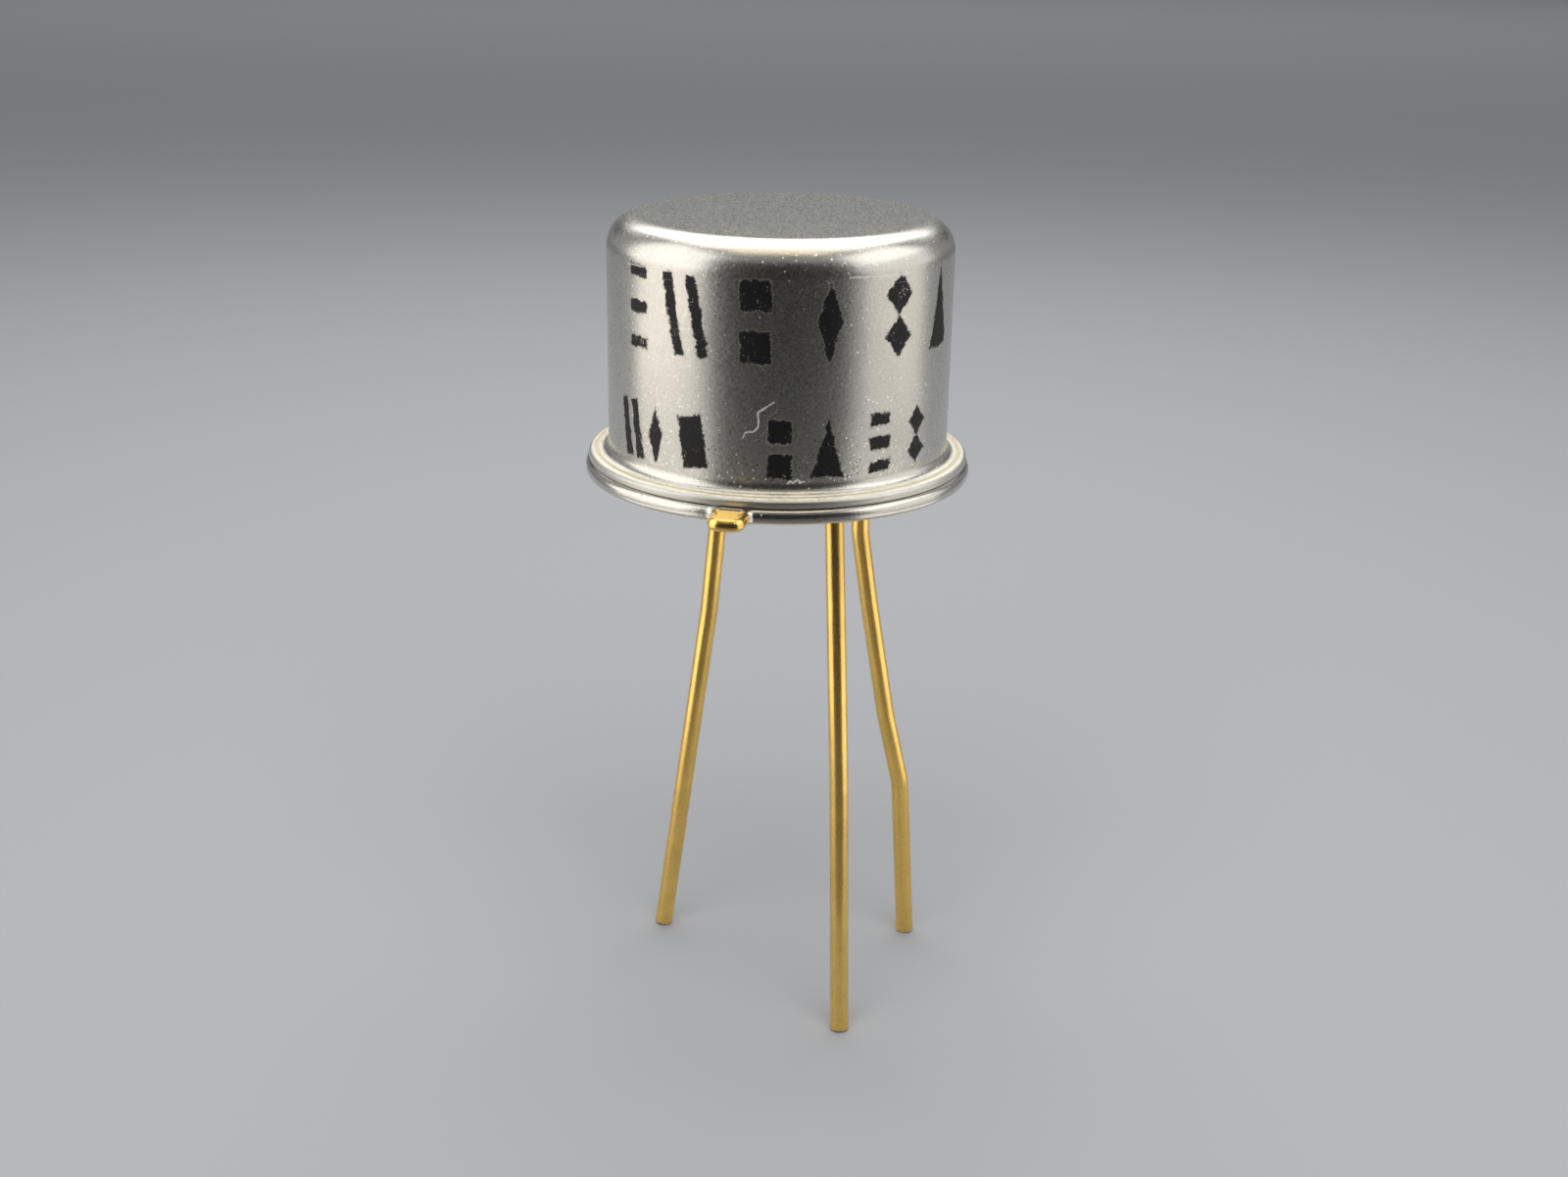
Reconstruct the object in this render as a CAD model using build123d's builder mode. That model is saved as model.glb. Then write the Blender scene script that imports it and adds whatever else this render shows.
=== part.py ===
from build123d import *
import os
from math import cos, hypot, radians, sin

# A transistor in a round welded metal can, standing on its three bent leads.
# Millimetres. The origin is on the can's axis, in the plane of the header's underside.
# +Z runs up through the can, and the index tab is on the -Y side.

# Cap: one shell drawn from sheet, closed at the top, with a brim at its foot
cap_height = 6.18
cap_wall = 0.20
shoulder_radius = 0.76
inner_shoulder_chamfer = 0.40
brim_thickness = 0.225
brim_edge_chamfer = 0.07
foot_chamfer = 0.14

# Header: a stamped cup with a flange, an index tab and a raised platform
header_radius = 4.66
header_thickness = 0.35
header_edge_chamfer = 0.07
flange_width = 0.56
brim_setback = 0.08
platform_height = 1.10
platform_wall = 0.28
platform_edge_chamfer = 0.14
platform_clearance = 0.10
cavity_chamfer = 0.10
tab_length = 0.75
tab_width = 0.86
tab_corner = 0.17
tab_root_fillet = 0.12

# Leads: drawn wire on a 5.08 mm circle, a quarter turn apart, with one place left empty
lead_diameter = 0.46
lead_inset = 0.98
emitter_angle = 302.5
lead_step = 90.0
tab_from_emitter = 45.0
stand_height = 13.50
tip_chamfer = 0.03
bend_radius = 3.0
kink_radius = 1.2
nail_head_radius = 0.36
nail_head_thickness = 0.12
post_height = 0.80
weld_head_radius = 0.38
weld_head_thickness = 0.10

# Glass: fills the header's cup, insulates two leads and rises a little round each one
seal_hole_radius = 0.66
glass_recess = 0.05
glass_dome = 0.07
dome_lip = 0.10
collar_height = 0.04
collar_lip = 0.03
collar_spread = 0.16

# Chip, the metal that holds it to the platform, and its two bond wires
chip_side = 0.76
chip_thickness = 0.20
die_bond_margin = 0.06
die_bond_thickness = 0.03
pad_offset = 0.20
wire_diameter = 0.05
ball_radius = 0.06
ball_height = 0.035
loop_rise = 0.95
loop_radius = 0.30
stitch_length = 0.16
stitch_width = 0.09
stitch_thickness = 0.03
landing_setback = 0.04

# Places that follow from those sizes
cap_radius = header_radius - flange_width
brim_radius = header_radius - brim_setback
bore_radius = cap_radius - cap_wall
brim_top = header_thickness + brim_thickness
platform_radius = bore_radius - platform_clearance
cavity_radius = platform_radius - platform_wall
deck_underside = platform_height - platform_wall
lead_radius = lead_diameter / 2
circle_radius = cavity_radius - lead_inset
base_angle = emitter_angle + lead_step
collector_angle = base_angle + lead_step
tab_angle = emitter_angle - tab_from_emitter
post_top = platform_height + post_height + nail_head_thickness
chip_top = platform_height + die_bond_thickness + chip_thickness

# How far each wire has been bent sideways, as (along X, along Y, depth under the header).
# The first entry is where it starts to lean and the last is at its cut end.
emitter_bends = [(0.00, 0.00, 0.50), (0.27, -0.87, 7.30), (0.42, -1.59, stand_height)]
base_bends = [
    (0.00, 0.00, 2.05),
    (0.29, -0.02, 4.00),
    (0.82, -0.05, 7.10),
    (1.27, -0.07, 9.05),
    (1.56, -0.10, stand_height),
]
collector_bends = [(0.00, 0.00, 0.50), (-0.36, -0.20, 4.50), (-1.55, -0.67, stand_height)]

os.makedirs("parts", exist_ok=True)


def on_circle(radius, angle):
    """The point at that radius and angle about the can's axis."""
    return radius * cos(radians(angle)), radius * sin(radians(angle))


def rings(builder, radius):
    """The part's round edges of that radius, lowest first."""
    circles = builder.edges().filter_by(GeomType.CIRCLE)
    return circles.filter_by(lambda edge: abs(edge.radius - radius) < 1e-6).sort_by(Axis.Z)


def lead_route(angle, top, bends):
    """The wire's centre line, from its top down to a square-cut end that touches the floor."""
    x, y = on_circle(circle_radius, angle)
    points = [Vector(x, y, top)] + [Vector(x + dx, y + dy, -depth) for dx, dy, depth in bends]
    run = points[-1] - points[-2]
    lean_sine = hypot(run.X, run.Y) / run.length
    points[-1] += Vector(0, 0, (lead_radius - tip_chamfer) * lean_sine)
    return points


# Cap
with BuildPart() as cap:
    with BuildSketch(Plane.XZ):
        with BuildLine():
            Polyline(
                (0, cap_height),
                (cap_radius, cap_height),
                (cap_radius, brim_top),
                (brim_radius, brim_top),
                (brim_radius, header_thickness),
                (bore_radius, header_thickness),
                (bore_radius, cap_height - cap_wall),
                (0, cap_height - cap_wall),
                close=True,
            )
        make_face()
    revolve(axis=Axis.Z)
    fillet(rings(cap, cap_radius)[-1], shoulder_radius)
    chamfer(rings(cap, cap_radius)[0], foot_chamfer)
    chamfer(rings(cap, bore_radius)[-1], inner_shoulder_chamfer)
    chamfer(rings(cap, brim_radius), brim_edge_chamfer)

cap.part.label = "cap"
export_step(cap.part, "parts/cap.step")

# Header
with BuildPart() as header:
    with BuildSketch() as flange_outline:
        Circle(header_radius)
        with PolarLocations(header_radius, 1, start_angle=tab_angle):
            Rectangle(2 * tab_length, tab_width)
        tab_end = (*on_circle(header_radius + tab_length, tab_angle), 0)
        tab_foot = (*on_circle(header_radius, tab_angle), 0)
        fillet(flange_outline.vertices().sort_by_distance(tab_end)[:2], tab_corner)
        fillet(flange_outline.vertices().sort_by_distance(tab_foot)[:2], tab_root_fillet)
    extrude(amount=header_thickness)
    chamfer(header.faces().filter_by(Axis.Z).edges(), header_edge_chamfer)
    with BuildSketch(Plane.XY.offset(header_thickness)):
        Circle(platform_radius)
    extrude(amount=platform_height - header_thickness)
    chamfer(rings(header, platform_radius)[-1], platform_edge_chamfer)
    with BuildSketch():
        Circle(cavity_radius)
    extrude(amount=deck_underside, mode=Mode.SUBTRACT)
    chamfer(rings(header, cavity_radius)[-1], cavity_chamfer)
    with BuildSketch(Plane.XY.offset(platform_height)):
        with PolarLocations(circle_radius, 2, start_angle=emitter_angle, angular_range=2 * lead_step):
            Circle(seal_hole_radius)
    extrude(amount=-platform_wall, mode=Mode.SUBTRACT)

header.part.label = "header"
export_step(header.part, "parts/header.step")

# Glass seal: the cup's filling, a plug in each insulated hole, and a low collar at each lead
with BuildPart() as glass_seal:
    with BuildSketch(Plane.XY.offset(glass_recess)):
        Circle(cavity_radius)
    extrude(amount=deck_underside - glass_recess)
    chamfer(glass_seal.edges().sort_by(Axis.Z)[-1], cavity_chamfer)
    with BuildSketch(Plane.XY.offset(deck_underside)):
        with PolarLocations(circle_radius, 2, start_angle=emitter_angle, angular_range=2 * lead_step):
            Circle(seal_hole_radius)
    extrude(amount=platform_wall)
    with Locations(Plane.XY.offset(platform_height)):
        with PolarLocations(circle_radius, 2, start_angle=emitter_angle, angular_range=2 * lead_step):
            Cone(
                bottom_radius=seal_hole_radius,
                top_radius=lead_radius + dome_lip,
                height=glass_dome,
                align=(Align.CENTER, Align.CENTER, Align.MIN),
            )
    with Locations(Plane.XY.offset(glass_recess - collar_height)):
        with PolarLocations(circle_radius, 3, start_angle=emitter_angle, angular_range=3 * lead_step):
            Cone(
                bottom_radius=lead_radius + collar_lip,
                top_radius=lead_radius + collar_spread,
                height=collar_height,
                align=(Align.CENTER, Align.CENTER, Align.MIN),
            )
    with Locations(Plane.XY.offset(platform_height + glass_dome)):
        with PolarLocations(circle_radius, 2, start_angle=emitter_angle, angular_range=2 * lead_step):
            Hole(lead_radius)
    with Locations(Plane.XY.offset(deck_underside)):
        with PolarLocations(circle_radius, 1, start_angle=collector_angle):
            CounterBoreHole(lead_radius, weld_head_radius, weld_head_thickness)

glass_seal.part.label = "glass_seal"
export_step(glass_seal.part, "parts/glass_seal.step")

# Leads: two end in nail heads above the platform, and the collector's is welded under it
lead_plans = {
    "emitter_lead": (
        emitter_angle,
        emitter_bends,
        [bend_radius] * 2,
        post_top,
        nail_head_radius,
        nail_head_thickness,
    ),
    "base_lead": (
        base_angle,
        base_bends,
        [bend_radius, bend_radius, bend_radius, kink_radius],
        post_top,
        nail_head_radius,
        nail_head_thickness,
    ),
    "collector_lead": (
        collector_angle,
        collector_bends,
        [bend_radius] * 2,
        deck_underside,
        weld_head_radius,
        weld_head_thickness,
    ),
}

for name, (angle, bends, radii, top, head_radius, head_thickness) in lead_plans.items():
    route = lead_route(angle, top, bends)
    with BuildPart() as lead:
        with BuildLine():
            FilletPolyline(*route, radius=radii)
        with BuildSketch(Plane(origin=route[0], z_dir=(0, 0, -1))):
            Circle(lead_radius)
        sweep()
        chamfer(lead.edges().sort_by(Axis.Z)[0], tip_chamfer)
        with BuildSketch(Plane(origin=route[0], z_dir=(0, 0, -1))):
            Circle(head_radius)
        extrude(amount=head_thickness)
    lead.part.label = name
    export_step(lead.part, f"parts/{name}.step")

# Die bond: the thin alloy layer between the chip and the platform
chip_x_axis = (*on_circle(1, emitter_angle), 0)

with BuildPart() as die_bond:
    with BuildSketch(Plane(origin=(0, 0, platform_height), x_dir=chip_x_axis)):
        Rectangle(chip_side + 2 * die_bond_margin, chip_side + 2 * die_bond_margin)
    extrude(amount=die_bond_thickness)

die_bond.part.label = "die_bond"
export_step(die_bond.part, "parts/die_bond.step")

# Chip
with BuildPart() as chip:
    with BuildSketch(Plane(origin=(0, 0, platform_height + die_bond_thickness), x_dir=chip_x_axis)):
        Rectangle(chip_side, chip_side)
    extrude(amount=chip_thickness)

chip.part.label = "chip"
export_step(chip.part, "parts/chip.step")

# Bond wires: a ball on the chip, a loop, and a flattened end on the lead's nail head
for name, angle in {"emitter_wire": emitter_angle, "base_wire": base_angle}.items():
    outward = (*on_circle(1, angle), 0)
    across = (outward[1], -outward[0], 0)
    landing = circle_radius - landing_setback
    with BuildPart() as wire:
        with BuildLine(Plane(origin=(0, 0, 0), x_dir=outward, z_dir=across)):
            FilletPolyline(
                (pad_offset, chip_top),
                (pad_offset, chip_top + loop_rise),
                (landing, post_top + wire_diameter / 2),
                radius=loop_radius,
            )
        with BuildSketch(Plane(origin=(*on_circle(pad_offset, angle), chip_top))):
            Circle(wire_diameter / 2)
        sweep()
        with BuildSketch(Plane(origin=(*on_circle(pad_offset, angle), chip_top))):
            Circle(ball_radius)
        extrude(amount=ball_height)
        with BuildSketch(Plane(origin=(*on_circle(landing, angle), post_top), x_dir=outward)):
            Ellipse(stitch_length / 2, stitch_width / 2)
        extrude(amount=stitch_thickness)
    wire.part.label = name
    export_step(wire.part, f"parts/{name}.step")
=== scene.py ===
from math import cos, hypot, pi, radians, sin, sqrt

import bmesh
import bpy
import numpy as np
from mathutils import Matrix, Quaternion, Vector


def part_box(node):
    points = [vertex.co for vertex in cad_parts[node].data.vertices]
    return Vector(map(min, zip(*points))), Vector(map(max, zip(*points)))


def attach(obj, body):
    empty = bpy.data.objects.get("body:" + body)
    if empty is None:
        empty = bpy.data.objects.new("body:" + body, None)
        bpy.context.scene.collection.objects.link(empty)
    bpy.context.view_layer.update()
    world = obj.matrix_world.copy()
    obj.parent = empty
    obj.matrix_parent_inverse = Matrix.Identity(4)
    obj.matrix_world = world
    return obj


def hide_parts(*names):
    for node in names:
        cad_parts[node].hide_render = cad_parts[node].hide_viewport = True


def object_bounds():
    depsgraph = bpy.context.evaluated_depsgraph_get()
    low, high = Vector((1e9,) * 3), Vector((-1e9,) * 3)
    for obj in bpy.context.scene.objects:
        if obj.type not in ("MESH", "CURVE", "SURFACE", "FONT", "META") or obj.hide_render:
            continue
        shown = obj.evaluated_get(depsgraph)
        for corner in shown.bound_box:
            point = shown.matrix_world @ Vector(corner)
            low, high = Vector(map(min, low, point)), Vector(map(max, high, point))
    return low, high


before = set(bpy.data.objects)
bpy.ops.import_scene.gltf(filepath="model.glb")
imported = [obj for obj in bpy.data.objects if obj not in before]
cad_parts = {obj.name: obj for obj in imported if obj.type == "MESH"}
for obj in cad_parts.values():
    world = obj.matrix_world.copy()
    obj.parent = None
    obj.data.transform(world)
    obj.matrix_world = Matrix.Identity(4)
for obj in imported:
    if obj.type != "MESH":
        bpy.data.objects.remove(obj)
cad_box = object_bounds()


# Camera. The photograph was taken from about 47 mm in front of the can and a little above it,
# with the frame rolled by one degree. The place and the aim come from a fit to the can's outline.
MM = 0.001
camera_place = Vector((0.0, -45.79, 13.34)) * MM
camera_aim = Vector((0.22, 0.0, -3.154)) * MM
camera_roll = radians(1.058)
camera_turn = (camera_aim - camera_place).to_track_quat("-Z", "Y")
camera_lens = bpy.data.cameras.new("camera")
camera_lens.sensor_width = 36.0
camera_lens.lens = 44.63
camera_lens.clip_start = 1 * MM
camera_lens.clip_end = 5.0
camera = bpy.data.objects.new("camera", camera_lens)
camera.location = camera_place
camera.rotation_mode = "QUATERNION"
camera.rotation_quaternion = camera_turn @ Quaternion((0, 0, 1), camera_roll)
bpy.context.collection.objects.link(camera)
bpy.context.scene.camera = camera
bpy.context.scene.view_settings.view_transform = "Standard"


# Floor. A pale matt table top that the three lead ends stand on. It runs far enough back
# to fill the frame behind the part.
floor_colour = (0.36, 0.375, 0.40, 1)
floor_reach = 1500 * MM
floor_level = cad_box[0].z


def build_step(tree, kind, inputs=None, **settings):
    """Adds a node, gives it its settings and inputs, and links each input that is a socket."""
    made = tree.nodes.new(kind)
    for name, value in settings.items():
        setattr(made, name, value)
    for name, value in (inputs or {}).items():
        if isinstance(value, bpy.types.NodeSocket):
            tree.links.new(value, made.inputs[name])
        else:
            made.inputs[name].default_value = value
    return made


def new_finish(name):
    """A new material whose shader's sockets are ready to be set or linked."""
    finish = bpy.data.materials.new(name)
    finish.use_nodes = True
    return finish, finish.node_tree, finish.node_tree.nodes["Principled BSDF"]


def place_mesh(name, mesh, finish):
    """Links a mesh into the scene at the origin, with its finish."""
    piece = bpy.data.objects.new(name, mesh)
    bpy.context.collection.objects.link(piece)
    mesh.materials.clear()
    mesh.materials.append(finish)
    return piece


floor_finish, floor_tree, floor_shader = new_finish("pale_table_top")
floor_shader.inputs["Base Color"].default_value = floor_colour
floor_shader.inputs["Roughness"].default_value = 1.0
floor_shader.inputs["Specular IOR Level"].default_value = 0.0
floor_mesh = bpy.data.meshes.new("floor")
floor_corners = [
    (-floor_reach, -floor_reach, floor_level),
    (floor_reach, -floor_reach, floor_level),
    (floor_reach, floor_reach, floor_level),
    (-floor_reach, floor_reach, floor_level),
]
floor_mesh.from_pydata(floor_corners, [], [(0, 1, 2, 3)])
floor = place_mesh("floor", floor_mesh, floor_finish)


# Light. Soft lamps stand behind, over and beside the part, in a pale room. Only metal sees the
# ones at the sides, and only matt surfaces see the wide one. Dark cards are there for reflections
# alone: those in front keep the middle of the wall dark, and the one behind dims the flat top.
world_colour = (0.30, 0.30, 0.31, 1)
lamp_tint = (1.0, 0.985, 0.96)
warm_tint = (1.0, 0.88, 0.58)
low_tint = (1.0, 0.93, 0.84)
front_card_colour = (0.02, 0.02, 0.02, 1)
front_mat_colour = (0.13, 0.135, 0.14, 1)
rear_card_colour = (0.075, 0.092, 0.10, 1)
card_foot = floor_level / MM + 0.1

world = bpy.data.worlds.new("room")
world.use_nodes = True
world.node_tree.nodes["Background"].inputs["Color"].default_value = world_colour
bpy.context.scene.world = world


def soft_lamp(
    name, place, aim, width, height, brightness, tint=lamp_tint, on_floor=True, in_metal=True
):
    """A rectangular lamp, in millimetres, whose face is as bright as a surface of that value."""
    lamp = bpy.data.lights.new(name, "AREA")
    lamp.shape = "RECTANGLE"
    lamp.size = width * MM
    lamp.size_y = height * MM
    lamp.energy = brightness * pi * lamp.size * lamp.size_y
    lamp.color = tint
    holder = bpy.data.objects.new(name, lamp)
    holder.location = Vector(place) * MM
    holder.rotation_mode = "QUATERNION"
    holder.rotation_quaternion = (Vector(aim) - Vector(place)).to_track_quat("-Z", "Y")
    holder.visible_camera = False
    holder.visible_diffuse = on_floor
    holder.visible_glossy = in_metal
    bpy.context.collection.objects.link(holder)


def side_lamp(name, place, width, height, brightness, tint=lamp_tint):
    """A soft lamp that faces the can's axis level from one side and is seen by metal alone."""
    soft_lamp(name, place, (0, *place[1:]), width, height, brightness, tint, on_floor=False)


soft_lamp("rear_lamp", (0, 48.3, 82.3), (0, 4, 4), 108, 110, 1.8)
soft_lamp("front_lamp", (0, -18.4, 108.2), (0, 0, 4), 80, 30, 1.3, warm_tint)
side_lamp("left_lamp", (-58, -13, 61), 73, 58, 1.5)
side_lamp("right_lamp", (58, -10, 61), 73, 58, 1.6)
side_lamp("left_middle_lamp", (-58, -15, 18), 77, 28, 1.45)
side_lamp("right_middle_lamp", (58, -12, 18), 73, 28, 0.8)
side_lamp("left_low_lamp", (-57, -16, -4), 60, 18, 1.22, low_tint)
side_lamp("right_low_lamp", (57, -12, -4), 54, 18, 0.74, low_tint)
side_lamp("left_near_lamp", (-22, -10, -10), 26, 6.8, 1.1, low_tint)
side_lamp("right_near_lamp", (22, -8, -10), 26, 6.8, 0.95, low_tint)
soft_lamp("wide_lamp", (0, -95, 125), (0, 0, 0), 200, 140, 2.8, in_metal=False)
soft_lamp("far_lamp", (0, 420, 230), (0, 420, 0), 600, 300, 0.6)


def reflection_card(name, colour, corners):
    """A flat dull card that only reflections see; its corners are in millimetres."""
    mesh = bpy.data.meshes.new(name)
    mesh.from_pydata([Vector(corner) * MM for corner in corners], [], [(0, 1, 2, 3)])
    finish, tree, shader = new_finish(name)
    shader.inputs["Base Color"].default_value = colour
    shader.inputs["Roughness"].default_value = 0.9
    card = place_mesh(name, mesh, finish)
    card.visible_camera = False
    card.visible_diffuse = False
    card.visible_shadow = False
    card.visible_transmission = False


front_left = (-48, -52, card_foot)
front_right = (56, -52, card_foot)
front_card_corners = [front_left, front_right, (56, -52, 50), (-48, -52, 50)]
front_mat_corners = [front_left, front_right, (14, -13, card_foot), (-12, -13, card_foot)]
rear_card_corners = [(-80, 112, 14), (80, 112, 14), (80, 112, 56), (-80, 112, 56)]
reflection_card("front_card", front_card_colour, front_card_corners)
reflection_card("front_mat", front_mat_colour, front_mat_corners)
reflection_card("rear_card", rear_card_colour, rear_card_corners)


# Header. One stamped metal cup: a flange with rounded edges, an index tab sheared with it, a
# raised platform and a cavity for the glass. It is bright nickel, with gold on the tab and below.
header_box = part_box("header")
header_radius = header_box[1].x
platform_height = header_box[1].z
header_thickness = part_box("cap")[0].z
upper_edge_round = 0.19 * MM
lower_edge_round = 0.09 * MM
tab_lower_round = 0.13 * MM
platform_radius = 3.80 * MM
platform_edge = 0.14 * MM
cavity_radius = 3.52 * MM
cavity_edge = 0.10 * MM
deck_underside = 0.82 * MM
tab_length = 0.75 * MM
tab_half_width = 0.43 * MM
tab_corner = 0.31 * MM
tab_root_fillet = 0.17 * MM
tab_drop = 0.028 * MM
tab_blend_length = 0.3 * MM
ledge_inset = 0.02 * MM
ledge_width = 0.005 * MM
tab_ledge_width = 0.17 * MM
lead_circle_radius = 2.54 * MM
emitter_degrees = 302.5
emitter_angle = radians(emitter_degrees)
base_angle = radians(emitter_degrees + 90)
collector_angle = radians(emitter_degrees + 180)
tab_angle = radians(emitter_degrees - 45)
seal_hole_radius = 0.66 * MM
rim_steps = 420
corner_steps = 8
hole_steps = 64
ledge_rings = 7
upper_round_rings = 10
lower_round_rings = 8
nickel_colour = (0.64, 0.62, 0.57, 1)
nickel_shade = 0.92
fleck_size = 0.048 * MM
fleck_tilt = 0.12
fleck_lift = 2.5
gold_colour = (0.95, 0.63, 0.18, 1)
gold_on_tab_from = (0.05 * MM, 0.10 * MM)
gold_below_from = (0.05 * MM, 0.01 * MM)
rolled_dullness = 0.4
rolled_metal_share = 0.2


def tab_outline():
    """Points and outward normals from the middle of the tab's end round to the flange's edge."""
    end_x = header_radius + tab_length
    points = [(end_x, y, 1, 0) for y in np.linspace(0, tab_half_width - tab_corner, 4)]
    for turn in np.linspace(0, pi / 2, corner_steps)[1:]:
        x = end_x - tab_corner + tab_corner * cos(turn)
        y = tab_half_width - tab_corner + tab_corner * sin(turn)
        points.append((x, y, cos(turn), sin(turn)))
    reach = header_radius + tab_root_fillet
    root_y = tab_half_width + tab_root_fillet
    root_x = sqrt(reach**2 - root_y**2)
    for x in np.linspace(end_x - tab_corner, root_x, 7)[1:-1]:
        points.append((x, tab_half_width, 0, 1))
    root_turn = np.arctan2(-root_y, -root_x)
    for turn in np.linspace(-pi / 2, root_turn, corner_steps):
        x = root_x + tab_root_fillet * cos(turn)
        y = root_y + tab_root_fillet * sin(turn)
        points.append((x, y, -cos(turn), -sin(turn)))
    return points


def flange_outline(steps):
    """The flange's whole outline with its tab, as rows of x, y and the outward normal."""
    half = tab_outline()
    start = np.arctan2(half[-1][1], half[-1][0])
    rim = []
    for turn in np.linspace(start, 2 * pi - start, steps)[1:-1]:
        rim.append((header_radius * cos(turn), header_radius * sin(turn), cos(turn), sin(turn)))
    mirrored = [(x, -y, nx, -ny) for x, y, nx, ny in reversed(half[1:])]
    rows = np.array(half + rim + mirrored)
    c, s = cos(tab_angle), sin(tab_angle)
    turned = rows.copy()
    for a in (0, 2):
        turned[:, a] = c * rows[:, a] - s * rows[:, a + 1]
        turned[:, a + 1] = s * rows[:, a] + c * rows[:, a + 1]
    return turned


def add_ring(form, xy, height):
    """Adds a ring of points at one height, or at a height for each point."""
    heights = np.broadcast_to(height, len(xy))
    return [form.verts.new((x, y, z)) for (x, y), z in zip(xy, heights)]


def bridge(form, first, second):
    """Joins two rings that have the same number of points."""
    for i in range(len(first)):
        j = (i + 1) % len(first)
        form.faces.new((first[i], first[j], second[j], second[i]))


def loop_edges(form, ring):
    """The edges that run round a ring."""
    return [form.edges.get((ring[i], ring[(i + 1) % len(ring)])) for i in range(len(ring))]


def finished_mesh(name, form, sharp_angle=radians(50)):
    """Turns the form into a smooth-shaded mesh whose faces point outwards."""
    bmesh.ops.recalc_face_normals(form, faces=form.faces)
    mesh = bpy.data.meshes.new(name)
    form.to_mesh(mesh)
    form.free()
    mesh.shade_smooth()
    mesh.set_sharp_from_angle(angle=sharp_angle)
    return mesh


outline = flange_outline(rim_steps)
outline_turn = np.arctan2(outline[:, 1], outline[:, 0])
unit_circle = np.stack([np.cos(outline_turn), np.sin(outline_turn)], 1)
reach_along_tab = outline[:, 0] * cos(tab_angle) + outline[:, 1] * sin(tab_angle)
tab_share = np.clip((reach_along_tab - header_radius) / tab_blend_length, 0, 1)
lower_round = lower_edge_round + (tab_lower_round - lower_edge_round) * tab_share
ledge = ledge_width + (tab_ledge_width - ledge_width) * tab_share
rim_top = header_thickness - tab_drop * tab_share


def inset_outline(inset):
    """The flange's outline moved inwards by that much, the same or different at each point."""
    return outline[:, :2] - outline[:, 2:] * np.broadcast_to(inset, len(outline))[:, None]


# The rings run out over the flange's top, down the ledge where the tab leaves it, round the edge
# and back in below to the cavity.
header_form = bmesh.new()
flange_rings = [add_ring(header_form, unit_circle * platform_radius, header_thickness)]
ledge_start = header_radius - upper_edge_round - ledge_inset
for turn in np.linspace(0, pi / 2, ledge_rings):
    reach = ledge_start + ledge * sin(turn)
    z = header_thickness - (header_thickness - rim_top) * (1 - cos(turn))
    flange_rings.append(add_ring(header_form, unit_circle * np.reshape(reach, (-1, 1)), z))
for turn in np.linspace(0, pi / 2, upper_round_rings):
    inset = upper_edge_round * (1 - sin(turn))
    z = rim_top - upper_edge_round * (1 - cos(turn))
    flange_rings.append(add_ring(header_form, inset_outline(inset), z))
for turn in np.linspace(0, pi / 2, lower_round_rings):
    inset = lower_round * (1 - cos(turn))
    z = lower_round * (1 - sin(turn))
    flange_rings.append(add_ring(header_form, inset_outline(inset), z))
flange_rings.append(add_ring(header_form, unit_circle * cavity_radius, 0))
flange_rings.append(add_ring(header_form, unit_circle * cavity_radius, deck_underside - cavity_edge))
flange_rings.append(add_ring(header_form, unit_circle * (cavity_radius - cavity_edge), deck_underside))
for first, second in zip(flange_rings, flange_rings[1:]):
    bridge(header_form, first, second)

platform_side = add_ring(header_form, unit_circle * platform_radius, platform_height - platform_edge)
platform_rim = add_ring(header_form, unit_circle * (platform_radius - platform_edge), platform_height)
bridge(header_form, flange_rings[0], platform_side)
bridge(header_form, platform_side, platform_rim)

hole_turns = np.linspace(0, 2 * pi, hole_steps + 1)[:-1]
deck_top_edges = loop_edges(header_form, platform_rim)
deck_under_edges = loop_edges(header_form, flange_rings[-1])
for angle in (emitter_angle, base_angle):
    hole_x = lead_circle_radius * cos(angle) + seal_hole_radius * np.cos(hole_turns)
    hole_y = lead_circle_radius * sin(angle) + seal_hole_radius * np.sin(hole_turns)
    hole = np.stack([hole_x, hole_y], 1)
    hole_top = add_ring(header_form, hole, platform_height)
    hole_bottom = add_ring(header_form, hole, deck_underside)
    bridge(header_form, hole_top, hole_bottom)
    deck_top_edges += loop_edges(header_form, hole_top)
    deck_under_edges += loop_edges(header_form, hole_bottom)
bmesh.ops.triangle_fill(header_form, use_beauty=True, edges=deck_top_edges, normal=(0, 0, 1))
bmesh.ops.triangle_fill(header_form, use_beauty=True, edges=deck_under_edges, normal=(0, 0, -1))
header_mesh = finished_mesh("header", header_form)


def speckle(tree, coordinates, grain, detail=2.0, roughness=0.6):
    """Fine noise whose lumps are about that wide."""
    inputs = {"Vector": coordinates, "Scale": 1 / grain, "Detail": detail, "Roughness": roughness}
    return build_step(tree, "ShaderNodeTexNoise", inputs).outputs["Fac"]


def ramp(tree, value, low, high, to_low=0.0, to_high=1.0):
    """Maps a value from one range to another and stops at its ends."""
    inputs = {"Value": value, "From Min": low, "From Max": high, "To Min": to_low, "To Max": to_high}
    return build_step(tree, "ShaderNodeMapRange", inputs).outputs["Result"]


def blend(tree, amount, first, second):
    """Mixes two colours by an amount. The node's colours are its inputs 6 and 7 and output 2."""
    made = build_step(tree, "ShaderNodeMix", {"Factor": amount}, data_type="RGBA")
    for socket, colour in ((made.inputs[6], first), (made.inputs[7], second)):
        if isinstance(colour, bpy.types.NodeSocket):
            tree.links.new(colour, socket)
        else:
            socket.default_value = colour
    return made.outputs[2]


def shade_of(colour, factor):
    """The same colour, lighter or darker."""
    return tuple(channel * factor for channel in colour[:3]) + (1,)


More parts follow.
